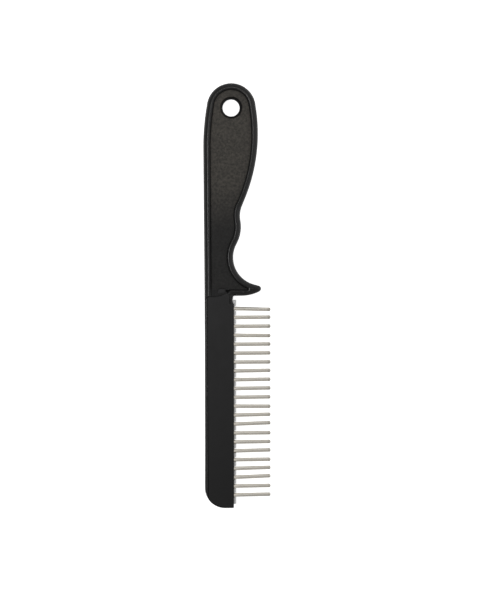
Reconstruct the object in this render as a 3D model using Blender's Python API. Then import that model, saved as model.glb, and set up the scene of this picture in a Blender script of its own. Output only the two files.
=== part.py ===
# Dematting comb with loose, freely turning steel teeth.
# Lies on its back: X across (teeth point to +X), Y along (handle end at +Y), Z through the thickness (front face up).
# All driving sizes are in millimetres; the objects are built in metres.
# U is measured from the straight spine towards the tooth tips, V from the underside of the finger guard
# (handle towards +V, blade towards -V), W from the back face up to the front face.

import math

import bmesh
import bpy
from mathutils import Matrix, Vector

MM = 0.001

# overall
THICK = 7.2             # whole thickness, handle rim and blade alike
BLADE_W = 14.85         # width of the plastic blade, halfway down
ROOT_EDGE_U = 14.7      # the body's corner between guard and blade
BLADE_L = 107.7         # blade length below the guard
TIP_U = 33.5            # tooth tips, from the spine, halfway down the blade
EDGE_TAPER = 0.0055     # the tooth edge, its channel and the teeth close in on the spine by this much per length
EDGE_MID_V = -53.0
HANDLE_V = 108.2        # handle end

# handle outline: centre (U, V) and radius of each tangent arc
NOSE = (14.32, 95.75, 12.45)
PALM = (-58.35, 83.0, 86.2)
GRIP_NOTCH = (31.68, 40.61, 13.2)
GRIP_BUMP = (1.0, 35.2, 17.95)
INDEX_NOTCH = (29.12, 19.54, 14.22)
GUARD_TIP = (27.45, 3.62, 1.55)
GUARD_UNDER = (19.1, 20.0, 20.0)
FLARE = (127.0, 75.0, 127.0)
BLADE_CORNER = (10.03, -97.54, 10.16)
SPINE_BOW = ((0.15, 28.0), (0.24, -22.0), (0.03, -78.0))   # the spine is drawn in very slightly along its length
FIRST_V = -6.42         # first tooth
TIP_MAX_U = TIP_U + EDGE_TAPER * (FIRST_V - EDGE_MID_V)
U_MID = (TIP_MAX_U + BLADE_CORNER[0] - BLADE_CORNER[2]) / 2     # the origin stands under the middle of the whole comb
V_MID = (HANDLE_V - BLADE_L) / 2
RIM_SPINE = 3.7         # rim widths, from the outline to the foot of the inner slope
RIM_NOSE = 3.6
RIM_PALM = (3.44, -0.89)        # width, and shift of the arc centre along V: the rim thins towards the guard
RIM_FINGER = 3.4
RIM_SLOPE = 1.0         # run of the inner slope
RECESS = 2.0            # web below the rim crest, on each side
BEAM_V = 3.2            # web side edge of the guard beam

# hang hole
HOLE = (14.26, 95.56, 4.3)
HOLE_FILLET = 1.2

# blade inside
LIP_W = 1.35            # spine lip beside the cover
GAP = 0.3               # between two pieces that meet
COVER_T = 1.15
FLOOR_T = 1.15
CHANNEL_BACK_U = 9.9
CHANNEL_NOSE_U = 16.07
CHANNEL_DEPTH = 4.3
SHEET_T = 0.5
CHANNEL_TOP_V = -2.0
CHANNEL_BOTTOM_V = -105.7
TONGUE_T = CHANNEL_DEPTH - 2 * SHEET_T - 2 * GAP

# teeth
TEETH = 22
PITCH = 4.515
TOOTH_R = 0.95
HEAD_R = 1.4
HEAD_BACK_U = 14.25
HEAD_T = 1.0
SLOT_W = 2.4
SLOT_U = 14.9
MID_W = THICK / 2
SEGMENTS = 12


# ---------------------------------------------------------------- scene and materials
for old in list(bpy.data.objects):
    bpy.data.objects.remove(old, do_unlink=True)


def material(name, colour, roughness, metallic):
    mat = bpy.data.materials.new(name)
    mat.use_nodes = True
    shader = mat.node_tree.nodes["Principled BSDF"]
    shader.inputs["Base Color"].default_value = (*colour, 1.0)
    shader.inputs["Roughness"].default_value = roughness
    shader.inputs["Metallic"].default_value = metallic
    mat.diffuse_color = (*colour, 1.0)
    return mat


BLACK = material("black_plastic", (0.022, 0.022, 0.023), 0.42, 0.0)
STEEL = material("tooth_steel", (0.72, 0.69, 0.63), 0.22, 1.0)
SHEET = material("channel_steel", (0.55, 0.55, 0.56), 0.35, 1.0)

ROOT = bpy.data.objects.new("comb", None)
bpy.context.scene.collection.objects.link(ROOT)


def place(u, v, w):
    """Metres in the comb's own frame, origin under the middle of the whole comb."""
    return Vector(((u - U_MID) * MM, (v - V_MID) * MM, w * MM))


def on_edge(u, v):
    """A point given from the tooth edge's own line, as plain U and V."""
    return u + EDGE_TAPER * (v - EDGE_MID_V), v


def add_object(name, bm, mat, smooth_deg=35, parent=ROOT):
    bmesh.ops.remove_doubles(bm, verts=bm.verts, dist=1e-7)
    bmesh.ops.recalc_face_normals(bm, faces=bm.faces)
    mesh = bpy.data.meshes.new(name)
    bm.to_mesh(mesh)
    bm.free()
    mesh.shade_smooth()
    mesh.set_sharp_from_angle(angle=math.radians(smooth_deg))
    obj = bpy.data.objects.new(name, mesh)
    bpy.context.scene.collection.objects.link(obj)
    if mat is not None:
        mesh.materials.append(mat)
    obj.parent = parent
    return obj


def as_cutter(obj):
    obj.hide_render = True
    obj.display_type = "WIRE"
    return obj


def boolean(obj, other, operation="DIFFERENCE"):
    mod = obj.modifiers.new(other.name, "BOOLEAN")
    mod.operation = operation
    mod.solver = "EXACT"
    mod.object = other
    as_cutter(other)


# ---------------------------------------------------------------- outlines of tangent arcs
def right_of(t):
    return Vector((t.y, -t.x))


def tangent_heading(a, b):
    """Heading of the straight run that leaves circle a and meets circle b. Each is (U, V, signed radius)."""
    d = Vector((b[0] - a[0], b[1] - a[1]))
    lean = max(-1.0, min(1.0, (a[2] - b[2]) / d.length))
    turn = math.asin(lean)
    h = d.normalized()
    return Vector((h.x * math.cos(turn) - h.y * math.sin(turn), h.x * math.sin(turn) + h.y * math.cos(turn)))


def belt(stations):
    """A closed path, counter-clockwise, that runs like a belt round its stations.
    A station is (U, V, radius, turn, segments, ease): turn is +1 where the outline bulges and -1 where it is
    hollow, ease is how much of the edge rounding is used there. Returns [(point, outward normal, ease)]."""
    signed = [(s[0], s[1], s[2] * s[3]) for s in stations]
    path = []
    count = len(stations)
    for i, (u, v, r, turn, segments, ease) in enumerate(stations):
        t_in = tangent_heading(signed[i - 1], signed[i])
        t_out = tangent_heading(signed[i], signed[(i + 1) % count])
        a_in = math.atan2(t_in.y, t_in.x)
        sweep = math.atan2(t_out.y, t_out.x) - a_in
        if turn > 0:
            while sweep < -0.3:
                sweep += 2 * math.pi
            while sweep > 2 * math.pi - 0.3:
                sweep -= 2 * math.pi
        else:
            while sweep > 0.3:
                sweep -= 2 * math.pi
            while sweep < 0.3 - 2 * math.pi:
                sweep += 2 * math.pi
        if r < 1e-6:
            heading = a_in + sweep / 2
            t = Vector((math.cos(heading), math.sin(heading)))
            path.append((Vector((u, v)), right_of(t), ease))
            continue
        for k in range(segments + 1):
            heading = a_in + sweep * k / segments
            t = Vector((math.cos(heading), math.sin(heading)))
            n = right_of(t)
            path.append((Vector((u, v)) + n * (r * turn), n, ease))
    cleaned = []
    for p in path:
        if not cleaned or (p[0] - cleaned[-1][0]).length > 0.02:
            cleaned.append(p)
    if (cleaned[0][0] - cleaned[-1][0]).length <= 0.02:
        cleaned.pop()
    return cleaned


def ring(bm, path, inset, w, follow_ease=True):
    """One loop of the outline, moved inwards by inset, at height w."""
    loop = []
    for p, n, ease in path:
        q = p - n * (inset * (ease if follow_ease else 1.0))
        loop.append(bm.verts.new(place(q.x, q.y, w)))
    return loop


def skin(bm, a, b):
    """Side wall between two loops with the same number of points."""
    n = len(a)
    for i in range(n):
        j = (i + 1) % n
        bm.faces.new((a[i], a[j], b[j], b[i]))


def cap(bm, *loops):
    """Flat face bounded by the first loop, with the others as holes in it."""
    edges = []
    for loop in loops:
        for i, vert in enumerate(loop):
            nxt = loop[(i + 1) % len(loop)]
            edges.append(bm.edges.get((vert, nxt)) or bm.edges.new((vert, nxt)))
    bmesh.ops.triangle_fill(bm, edges=edges, use_beauty=True, use_dissolve=False)


def circle_path(u, v, r, segments):
    out = []
    for k in range(segments):
        a = 2 * math.pi * k / segments
        n = Vector((math.cos(a), math.sin(a)))
        out.append((Vector((u, v)) + n * r, n, 1.0))
    return out


def prism(name, path, w0, w1, grow=0.0):
    bm = bmesh.new()
    low, high = ring(bm, path, -grow, w0, False), ring(bm, path, -grow, w1, False)
    skin(bm, low, high)
    cap(bm, low)
    cap(bm, high)
    return add_object(name, bm, None)


def box(name, u0, u1, v0, v1, w0, w1):
    path = [(Vector(c), Vector((0, 0)), 0.0) for c in ((u0, v0), (u1, v0), (u1, v1), (u0, v1))]
    return prism(name, path, w0, w1)


# ---------------------------------------------------------------- handle body: handle, guard and rear half of the blade
def outer_path():
    corner = BLADE_CORNER
    return belt([
        (*on_edge(BLADE_W - 0.5, -BLADE_L + 0.5), 0.5, 1, 2, 0.15),
        (*on_edge(BLADE_W, -3.8), 0.0, 1, 1, 0.15),
        (ROOT_EDGE_U, -3.6, 0.0, -1, 1, 0.15),
        (ROOT_EDGE_U, -1.2, 0.0, 1, 1, 0.15),
        (ROOT_EDGE_U + 0.8, -0.8, 0.8, -1, 3, 0.15),
        (*GUARD_UNDER, 1, 4, 1.0),
        (*GUARD_TIP, 1, 8, 1.0),
        (*INDEX_NOTCH, -1, 12, 1.0),
        (*GRIP_BUMP, 1, 5, 1.0),
        (*GRIP_NOTCH, -1, 5, 1.0),
        (*PALM, 1, 9, 1.0),
        (*NOSE, 1, 14, 1.0),
        (*FLARE, 1, 4, 1.0),
        (*SPINE_BOW[0], 0.0, -1, 1, 1.0),
        (0.22, 1.5, 0.0, -1, 1, 1.0),
        (0.23, -2.5, 0.0, -1, 1, 0.65),
        (*SPINE_BOW[1], 0.0, -1, 1, 0.65),
        (*SPINE_BOW[2], 0.0, -1, 1, 0.65),
        (*corner, 1, 8, 0.65),
    ])


def inset_arc(arc, d, shift=0.0):
    """The same arc moved d towards the inside of a bulge."""
    return arc[0], arc[1] + shift, arc[2] - d


def recess_path():
    """Edge of the sunk web, at the foot of the rim."""
    corner = 0.15
    index = (INDEX_NOTCH[0], INDEX_NOTCH[1], INDEX_NOTCH[2] + RIM_FINGER)
    wedge_v = BEAM_V + corner
    wedge_u = index[0] - math.sqrt((index[2] + corner) ** 2 - (index[1] - wedge_v) ** 2)
    return belt([
        (wedge_u, wedge_v, corner, 1, 3, 1.0),
        (*index, -1, 9, 1.0),
        (*inset_arc(GRIP_BUMP, RIM_FINGER), 1, 4, 1.0),
        (GRIP_NOTCH[0], GRIP_NOTCH[1], GRIP_NOTCH[2] + RIM_FINGER, -1, 5, 1.0),
        (*inset_arc(PALM, *RIM_PALM), 1, 8, 1.0),
        (*inset_arc(NOSE, RIM_NOSE), 1, 12, 1.0),
        (*inset_arc(FLARE, RIM_SPINE), 1, 3, 1.0),
        (RIM_SPINE + 0.6, BEAM_V + 0.6 + 0.25, 0.6, 1, 3, 1.0),
        (11.6, BEAM_V + 0.15, 0.0, 1, 1, 1.0),
    ])


def crest(side):
    """Levels from the middle of the edge out to the crest of the rim: (inset, height)."""
    steps = ((0.0, 3.1), (0.12, 2.0), (0.5, 1.05), (1.1, 0.35), (1.8, 0.0))
    return [(i, THICK - w if side > 0 else w) for i, w in steps]


def build_handle_body():
    bm = bmesh.new()
    outline, recess = outer_path(), recess_path()
    walls = {}
    for side in (1, -1):
        previous = None
        for inset, w in crest(side):
            loop = ring(bm, outline, inset, w)
            if previous:
                skin(bm, previous, loop)
            else:
                walls[side] = loop
            previous = loop
        crest_w = THICK if side > 0 else 0.0
        web_w = THICK - RECESS if side > 0 else RECESS
        inner_top = ring(bm, recess, -RIM_SLOPE, crest_w)
        cap(bm, previous, inner_top)
        inner_mid = ring(bm, recess, -RIM_SLOPE * 0.36, (crest_w * 0.7 + web_w * 0.3))
        inner_low = ring(bm, recess, 0.0, web_w)
        skin(bm, inner_top, inner_mid)
        skin(bm, inner_mid, inner_low)
        hole = circle_path(*HOLE, 24)
        rims = []
        for k in range(3):
            a = math.radians(90 * (1 - k / 2))
            grow = HOLE_FILLET * (1 - math.cos(a))
            drop = HOLE_FILLET * math.sin(a)
            w = web_w - (HOLE_FILLET - drop) * side
            rims.append(ring(bm, hole, -grow, w))
        cap(bm, inner_low, rims[0])
        skin(bm, rims[0], rims[1])
        skin(bm, rims[1], rims[2])
        walls[(side, "hole")] = rims[2]
    skin(bm, walls[1], walls[-1])
    skin(bm, walls[(1, "hole")], walls[(-1, "hole")])
    return add_object("handle_body", bm, BLACK)


COVER_TOP = (5.0, 11.15, 11.5)      # hollow arc of the cover's top edge
ROOT_U = 12.95                      # the body keeps the corner between guard and tooth edge
ROOT_V = -3.9


def cover_path():
    """Edge of the cover."""
    left = LIP_W + GAP
    cu, cv, cr = BLADE_CORNER
    meet = cv - math.sqrt(cr * cr - (cu - left) ** 2)
    return belt([
        (*on_edge(BLADE_W - 0.5, -BLADE_L + 0.5), 0.5, 1, 2, 0.6),
        (*on_edge(BLADE_W - 0.25, ROOT_V - 0.25), 0.25, 1, 2, 0.15),
        (ROOT_U, ROOT_V, 0.0, 1, 1, 0.15),
        (ROOT_U - 0.3, 0.45, 0.3, 1, 2, 0.3),
        (11.65, 1.25, 0.3, 1, 2, 0.4),
        (*COVER_TOP, -1, 6, 0.5),
        (left + 0.8, -1.25, 0.8, 1, 4, 0.3),
        (left, meet, 0.0, 1, 1, 0.2),
        (*BLADE_CORNER, 1, 7, 0.65),
    ])


def pocket_path():
    """The cover's seat in the body: the cover's edge plus the gap, run out past the tooth edge and the blade end."""
    far_v = -BLADE_L - 4
    return belt([
        (BLADE_W + 4, far_v, 0.0, 1, 1, 0),
        (BLADE_W + 4, ROOT_V + GAP, 0.0, 1, 1, 0),
        (ROOT_U + GAP, ROOT_V + GAP, 0.0, -1, 1, 0),
        (ROOT_U - 0.3, 0.45, 0.6, 1, 3, 0),
        (11.65, 1.25, 0.6, 1, 3, 0),
        (COVER_TOP[0], COVER_TOP[1], COVER_TOP[2] - GAP, -1, 6, 0),
        (LIP_W + 1.1, -1.25, 1.1, 1, 4, 0),
        (LIP_W, far_v, 0.0, 1, 1, 0),
    ])


body = build_handle_body()

pocket = prism("cut_cover_pocket", pocket_path(), THICK - COVER_T - GAP, THICK + 2)
boolean(body, pocket)

# C-shaped groove along the tooth edge: it leaves a tongue that the steel channel slips over
t0, t1 = MID_W - TONGUE_T / 2, MID_W + TONGUE_T / 2
back_u, tongue_u, far_u = CHANNEL_BACK_U - GAP, HEAD_BACK_U - GAP, BLADE_W + 4
section = [
    (back_u, FLOOR_T), (far_u, FLOOR_T), (far_u, THICK - 1.0), (back_u, THICK - 1.0),
    (back_u, t1), (tongue_u, t1), (tongue_u, t0), (back_u, t0),
]
bm = bmesh.new()
ends = []
for v in (CHANNEL_BOTTOM_V - GAP, CHANNEL_TOP_V + GAP):
    ends.append([bm.verts.new(place(*on_edge(u, v), w)) for u, w in section])
skin(bm, ends[0], ends[1])
for end in ends:
    bm.faces.new(end)
groove = add_object("cut_channel_groove", bm, None)
boolean(body, groove)

# notch in the spine edge where the rim of the handle stops and the lip beside the cover starts
boolean(body, box("cut_spine_notch", -2.0, LIP_W + 0.4, -1.45, -0.8, THICK - 1.4, THICK + 2))

# ramp that rises from the web to the top edge of the cover, with a low rounded pad standing on it
ramp_foot, ramp_rise = 3.75, 0.345
ramp = ((RIM_SPINE + 0.05, ramp_foot), (RIM_SPINE + 0.05, -0.25), (7.5, -0.1), (10.0, 0.8), (11.35, 1.65), (11.35, ramp_foot))
bm = bmesh.new()
low = [bm.verts.new(place(u, v, THICK - RECESS + 0.02 + (ramp_foot - v) * ramp_rise)) for u, v in ramp]
high = [bm.verts.new(place(u, v, THICK + 2)) for u, v in ramp]
skin(bm, low, high)
cap(bm, low)
cap(bm, high)
boolean(body, add_object("cut_ramp", bm, None))

pad = belt([(10.0, 2.3, 0.85, 1, 4, 1.0), (10.0, 2.95, 0.85, 1, 4, 1.0), (7.9, 2.95, 0.85, 1, 4, 1.0), (7.9, 2.3, 0.85, 1, 4, 1.0)])
bm = bmesh.new()
loops = [ring(bm, pad, inset, w) for inset, w in ((0.0, THICK - 2.6), (0.0, THICK - 0.75), (0.12, THICK - 0.5), (0.4, THICK - 0.35))]
for a, b in zip(loops, loops[1:]):
    skin(bm, a, b)
cap(bm, loops[0])
cap(bm, loops[-1])
boolean(body, add_object("add_ramp_pad", bm, None), "UNION")


# ---------------------------------------------------------------- blade cover
def build_cover():
    bm = bmesh.new()
    path = cover_path()
    w0 = THICK - COVER_T
    levels = ((0.0, w0), (0.0, THICK - 0.9), (0.16, THICK - 0.35), (0.62, THICK))
    loops = [ring(bm, path, inset, w) for inset, w in levels]
    for a, b in zip(loops, loops[1:]):
        skin(bm, a, b)
    cap(bm, loops[0])
    cap(bm, loops[-1])
    return add_object("blade_cover", bm, BLACK)


build_cover()


# ---------------------------------------------------------------- steel channel
def tooth_v(i):
    return FIRST_V - PITCH * i


def arc_points(cu, cw, r, a0, a1, n):
    return [
        (cu + r * math.cos(math.radians(a0 + (a1 - a0) * k / n)), cw + r * math.sin(math.radians(a0 + (a1 - a0) * k / n)))
        for k in range(n + 1)
    ]


def build_channel():
    z0, z1 = MID_W - CHANNEL_DEPTH / 2, MID_W + CHANNEL_DEPTH / 2
    r_out, r_in = 1.0, 1.0 - SHEET_T
    cu = CHANNEL_NOSE_U - r_out
    section = [(CHANNEL_BACK_U, z0)]
    section += arc_points(cu, z0 + r_out, r_out, -90, 0, 3)
    section += arc_points(cu, z1 - r_out, r_out, 0, 90, 3)
    section += [(CHANNEL_BACK_U, z1), (CHANNEL_BACK_U, z1 - SHEET_T)]
    section += arc_points(cu, z1 - r_out, r_in, 90, 0, 2)
    section += arc_points(cu, z0 + r_out, r_in, 0, -90, 2)
    section += [(CHANNEL_BACK_U, z0 + SHEET_T)]
    bm = bmesh.new()
    ends = []
    for v in (CHANNEL_BOTTOM_V, CHANNEL_TOP_V):
        ends.append([bm.verts.new(place(*on_edge(u, v), w)) for u, w in section])
    skin(bm, ends[0], ends[1])
    for end in ends:
        edges = [bm.edges.get((a, b)) for a, b in zip(end, end[1:] + end[:1])]
        bmesh.ops.triangle_fill(bm, edges=edges, use_beauty=True)
    channel = add_object("tooth_channel", bm, SHEET)
    bm = bmesh.new()
    for i in range(TEETH):
        v = tooth_v(i)
        loops = []
        for w in (z0 - 1, z1 + 1):
            corners = ((SLOT_U, v - SLOT_W / 2), (CHANNEL_NOSE_U + 1, v - SLOT_W / 2), (CHANNEL_NOSE_U + 1, v + SLOT_W / 2), (SLOT_U, v + SLOT_W / 2))
            loops.append([bm.verts.new(place(*on_edge(u, vv), w)) for u, vv in corners])
        skin(bm, loops[0], loops[1])
        bm.faces.new(loops[0])
        bm.faces.new(loops[1])
    slots = add_object("cut_tooth_slots", bm, None)
    boolean(channel, slots)
    return channel


build_channel()


# ---------------------------------------------------------------- teeth
def tooth_lean(i):
    """Each loose tooth settles at its own small angle in its slot: the top one droops, the others rise a little
    more towards the end of the blade."""
    settle = 0.38 * math.sin(1.81 * i - 1.92) + 0.52 * math.sin(2.18 * i - 1.27)
    return math.radians(0.079 * i - 0.24 + settle - 0.85 * math.exp(-2.0 * i))


def tooth_mesh():
    """Turned pin along +X, its origin in the middle of the head."""
    pivot = HEAD_BACK_U + HEAD_T / 2
    profile = [
        (HEAD_BACK_U, HEAD_R - 0.15), (HEAD_BACK_U + 0.15, HEAD_R), (HEAD_BACK_U + HEAD_T - 0.1, HEAD_R),
        (HEAD_BACK_U + HEAD_T, TOOTH_R), (TIP_U - 0.62, TOOTH_R), (TIP_U - 0.24, TOOTH_R * 0.84), (TIP_U - 0.05, TOOTH_R * 0.46),
    ]
    bm = bmesh.new()
    rings = []
    for u, r in profile:
        loop = []
        for k in range(SEGMENTS):
            a = 2 * math.pi * (k + 0.5) / SEGMENTS
            loop.append(bm.verts.new(Vector(((u - pivot) * MM, r * math.cos(a) * MM, r * math.sin(a) * MM))))
        rings.append(loop)
    for a, b in zip(rings, rings[1:]):
        skin(bm, a, b)
    bm.faces.new(rings[0])
    end = bm.verts.new(Vector(((TIP_U - pivot) * MM, 0, 0)))
    for k in range(SEGMENTS):
        bm.faces.new((rings[-1][k], rings[-1][(k + 1) % SEGMENTS], end))
    bmesh.ops.recalc_face_normals(bm, faces=bm.faces)
    mesh = bpy.data.meshes.new("tooth")
    bm.to_mesh(mesh)
    bm.free()
    mesh.shade_smooth()
    mesh.set_sharp_from_angle(angle=math.radians(40))
    mesh.materials.append(STEEL)
    return mesh


TOOTH = tooth_mesh()
for i in range(TEETH):
    tooth = bpy.data.objects.new(f"tooth_{i + 1:02d}", TOOTH)
    bpy.context.scene.collection.objects.link(tooth)
    tooth.parent = ROOT
    tooth.location = place(*on_edge(HEAD_BACK_U + HEAD_T / 2, tooth_v(i)), MID_W)
    tooth.rotation_euler = (0.0, 0.0, tooth_lean(i))
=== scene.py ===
# Dematting comb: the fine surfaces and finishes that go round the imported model.
# Working sizes are millimetres in the comb's own directions: U from the straight spine towards the tooth tips,
# V from the underside of the finger guard (handle towards +V, blade towards -V), W from the back face to the front.

import math

import bmesh
import bpy
import numpy as np
from mathutils import Matrix, Vector
from mathutils.geometry import delaunay_2d_cdt


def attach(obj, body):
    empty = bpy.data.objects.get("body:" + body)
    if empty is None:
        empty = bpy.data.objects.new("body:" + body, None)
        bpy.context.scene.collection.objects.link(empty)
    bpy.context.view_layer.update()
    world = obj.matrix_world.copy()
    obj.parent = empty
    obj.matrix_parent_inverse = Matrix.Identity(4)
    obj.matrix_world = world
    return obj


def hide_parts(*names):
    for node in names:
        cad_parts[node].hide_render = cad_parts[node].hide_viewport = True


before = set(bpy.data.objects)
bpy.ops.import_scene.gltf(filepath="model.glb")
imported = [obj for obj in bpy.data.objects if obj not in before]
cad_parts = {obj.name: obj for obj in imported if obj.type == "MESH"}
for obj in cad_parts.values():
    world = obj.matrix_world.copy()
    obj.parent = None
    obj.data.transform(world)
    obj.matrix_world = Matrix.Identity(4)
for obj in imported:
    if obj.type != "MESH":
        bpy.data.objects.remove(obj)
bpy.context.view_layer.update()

MM = 0.001
THICK = 7.2
BLADE_W = 14.85
ROOT_EDGE_U = 14.7
BLADE_L = 107.7
TIP_U = 33.5
EDGE_TAPER, EDGE_MID_V = 0.0055, -53.0      # the tooth edge closes in on the spine towards the blade's end
HANDLE_V = 108.2

NOSE = (14.32, 95.75, 12.45)
PALM = (-58.35, 83.0, 86.2)
GRIP_NOTCH = (31.68, 40.61, 13.2)
GRIP_BUMP = (1.0, 35.2, 17.95)
INDEX_NOTCH = (29.12, 19.54, 14.22)
GUARD_TIP = (27.45, 3.62, 1.55)
GUARD_UNDER = (19.1, 20.0, 20.0)
FLARE = (127.0, 75.0, 127.0)
BLADE_CORNER = (10.03, -97.54, 10.16)
SPINE_BOW = ((0.15, 28.0), (0.24, -22.0), (0.03, -78.0))
FIRST_V = -6.42
U_MID = (TIP_U + EDGE_TAPER * (FIRST_V - EDGE_MID_V) + BLADE_CORNER[0] - BLADE_CORNER[2]) / 2
V_MID = (HANDLE_V - BLADE_L) / 2

RIM_SPINE, RIM_NOSE, RIM_FINGER = 3.7, 3.6, 3.4
RIM_PALM = (3.44, -0.89)
BEAD_FRONT = 3.45       # height of the rim's rounded outer flank above the middle plane's narrow flat
CREST = 0.69            # where the crest lies across the rim, from the outer edge
RECESS = 2.0
BEAM_V = 3.2
HOLE = (14.26, 95.56, 4.3)
HOLE_EASE = 1.55        # how far the dished edge of the hole reaches into the web

LIP_W, GAP = 1.35, 0.3
COVER_T = FLOOR_T = 1.15
CHANNEL_BACK_U, CHANNEL_NOSE_U, CHANNEL_DEPTH, SHEET_T = 9.9, 16.07, 4.3, 0.5
CHANNEL_TOP_V, CHANNEL_BOTTOM_V = -2.0, -105.7
TONGUE_T = CHANNEL_DEPTH - 2 * SHEET_T - 2 * GAP
COVER_TOP = (5.0, 11.15, 11.5)
ROOT_U, ROOT_V = 12.95, -3.9

TEETH, PITCH = 22, 4.515
TOOTH_R, HEAD_R, HEAD_BACK_U, HEAD_T = 0.95, 1.4, 14.25, 1.0
SLOT_W, SLOT_U = 2.4, 14.9
MID_W = THICK / 2


def place(u, v, w):
    return Vector(((u - U_MID) * MM, (v - V_MID) * MM, w * MM))


def on_edge(u, v):
    """A point given from the tooth edge's own line, as plain U and V."""
    return u + EDGE_TAPER * (v - EDGE_MID_V), v


# ================================================================ outlines
def right_of(t):
    return Vector((t.y, -t.x))


def tangent_heading(a, b):
    d = Vector((b[0] - a[0], b[1] - a[1]))
    turn = math.asin(max(-1.0, min(1.0, (a[2] - b[2]) / d.length)))
    h = d.normalized()
    return Vector((h.x * math.cos(turn) - h.y * math.sin(turn), h.x * math.sin(turn) + h.y * math.cos(turn)))


def belt(stations, step=0.9, angle=4.0, straight=3.0):
    """A fine closed path that runs round its stations like a belt. A station is (U, V, radius, turn[, ease]).
    Returns points, outward normals and ease as arrays."""
    signed = [(s[0], s[1], s[2] * s[3]) for s in stations]
    out = []
    n = len(stations)
    for i, s in enumerate(stations):
        u, v, r, turn = s[:4]
        ease = s[4] if len(s) > 4 else 1.0
        t_in = tangent_heading(signed[i - 1], signed[i])
        t_out = tangent_heading(signed[i], signed[(i + 1) % n])
        a_in = math.atan2(t_in.y, t_in.x)
        sweep = math.atan2(t_out.y, t_out.x) - a_in
        low, high = (-0.3, 2 * math.pi - 0.3) if turn > 0 else (0.3 - 2 * math.pi, 0.3)
        while sweep < low:
            sweep += 2 * math.pi
        while sweep > high:
            sweep -= 2 * math.pi
        if r < 1e-6:
            heading = a_in + sweep / 2
            t = Vector((math.cos(heading), math.sin(heading)))
            out.append((Vector((u, v)), right_of(t), ease))
            continue
        count = max(2, math.ceil(abs(sweep) / min(math.radians(angle), step / r)))
        for k in range(count + 1):
            heading = a_in + sweep * k / count
            t = Vector((math.cos(heading), math.sin(heading)))
            out.append((Vector((u, v)) + right_of(t) * (r * turn), right_of(t), ease))
    kept = []
    for p in out:
        if not kept or (p[0] - kept[-1][0]).length > 0.01:
            kept.append(p)
    if (kept[0][0] - kept[-1][0]).length <= 0.01:
        kept.pop()
    fine = []
    for i, p in enumerate(kept):
        q = kept[(i + 1) % len(kept)]
        fine.append(p)
        pieces = math.ceil((q[0] - p[0]).length / straight)
        for k in range(1, pieces):
            f = k / pieces
            fine.append((p[0].lerp(q[0], f), right_of((q[0] - p[0]).normalized()), p[2] + (q[2] - p[2]) * f))
    return (
        np.array([tuple(p[0]) for p in fine]),
        np.array([tuple(p[1]) for p in fine]),
        np.array([p[2] for p in fine]),
    )


OUT_P, OUT_N, _ = belt([
    (*on_edge(BLADE_W - 0.5, -BLADE_L + 0.5), 0.5, 1),
    (*on_edge(BLADE_W, -5.2), 0.0, 1),
    (*on_edge(BLADE_W, -4.3), 0.0, 1),
    (ROOT_EDGE_U + 0.22, -3.5, 0.0, 1),
    (ROOT_EDGE_U + 0.02, -2.8, 0.0, -1),
    (ROOT_EDGE_U, -2.0, 0.0, -1),
    (ROOT_EDGE_U, -1.2, 0.0, 1),
    (ROOT_EDGE_U + 0.8, -0.8, 0.8, -1),
    (*GUARD_UNDER, 1),
    (*GUARD_TIP, 1),
    (*INDEX_NOTCH, -1),
    (*GRIP_BUMP, 1),
    (*GRIP_NOTCH, -1),
    (*PALM, 1),
    (*NOSE, 1),
    (*FLARE, 1),
    (*SPINE_BOW[0], 0.0, -1),
    (0.22, 1.5, 0.0, -1),
    (0.222, 0.3, 0.0, -1),
    (0.225, -0.3, 0.0, -1),
    (0.228, -0.9, 0.0, -1),
    (0.23, -1.6, 0.0, -1),
    (0.232, -2.5, 0.0, -1),
    (*SPINE_BOW[1], 0.0, -1),
    (*SPINE_BOW[2], 0.0, -1),
    (*BLADE_CORNER, 1),
], step=0.8)


def foot_path(front):
    """Edge of the sunk web, at the foot of the rim's inner flank. On the front it takes in the ramp as well."""
    index = (INDEX_NOTCH[0], INDEX_NOTCH[1], INDEX_NOTCH[2] + RIM_FINGER)
    wedge_v = BEAM_V + 0.12
    wedge_u = index[0] - math.sqrt((index[2] + 0.12) ** 2 - (index[1] - wedge_v) ** 2)
    stations = [
        (wedge_u, wedge_v, 0.12, 1),
        (*index, -1),
        (GRIP_BUMP[0], GRIP_BUMP[1], GRIP_BUMP[2] - RIM_FINGER, 1),
        (GRIP_NOTCH[0], GRIP_NOTCH[1], GRIP_NOTCH[2] + RIM_FINGER, -1),
        (PALM[0], PALM[1] + RIM_PALM[1], PALM[2] - RIM_PALM[0], 1),
        (NOSE[0], NOSE[1], NOSE[2] - RIM_NOSE, 1),
        (FLARE[0], FLARE[1], FLARE[2] - RIM_SPINE, 1),
    ]
    if front:
        stations += [(RIM_SPINE, v, 0.0, 1) for v in (5.4, 4.8, 4.3, 3.75, 3.2, 2.6, 2.0, 1.4, 0.8, 0.2)]
        stations += [
            (RIM_SPINE, -0.48, 0.0, 1),
            (COVER_TOP[0], COVER_TOP[1], COVER_TOP[2] + 0.1, 1),
            (11.75, 1.45, 0.0, 1),
            (12.3, BEAM_V + 0.05, 0.1, -1),
        ]
    else:
        stations += [(RIM_SPINE + 0.5, BEAM_V + 0.5, 0.5, 1), (11.6, BEAM_V, 0.0, 1)]
    return belt(stations, step=0.7)


FOOT = {1: foot_path(True), -1: foot_path(False)}


def distance(points, loop):
    """Distance from each point to a closed polyline."""
    a = loop
    ab = np.roll(loop, -1, 0) - a
    length2 = (ab ** 2).sum(1)
    best = np.empty(len(points))
    for start in range(0, len(points), 1500):
        p = points[start : start + 1500, None, :] - a[None]
        f = np.clip((p * ab[None]).sum(2) / length2[None], 0, 1)
        best[start : start + 1500] = np.sqrt(((p - f[..., None] * ab[None]) ** 2).sum(2).min(1))
    return best


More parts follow.
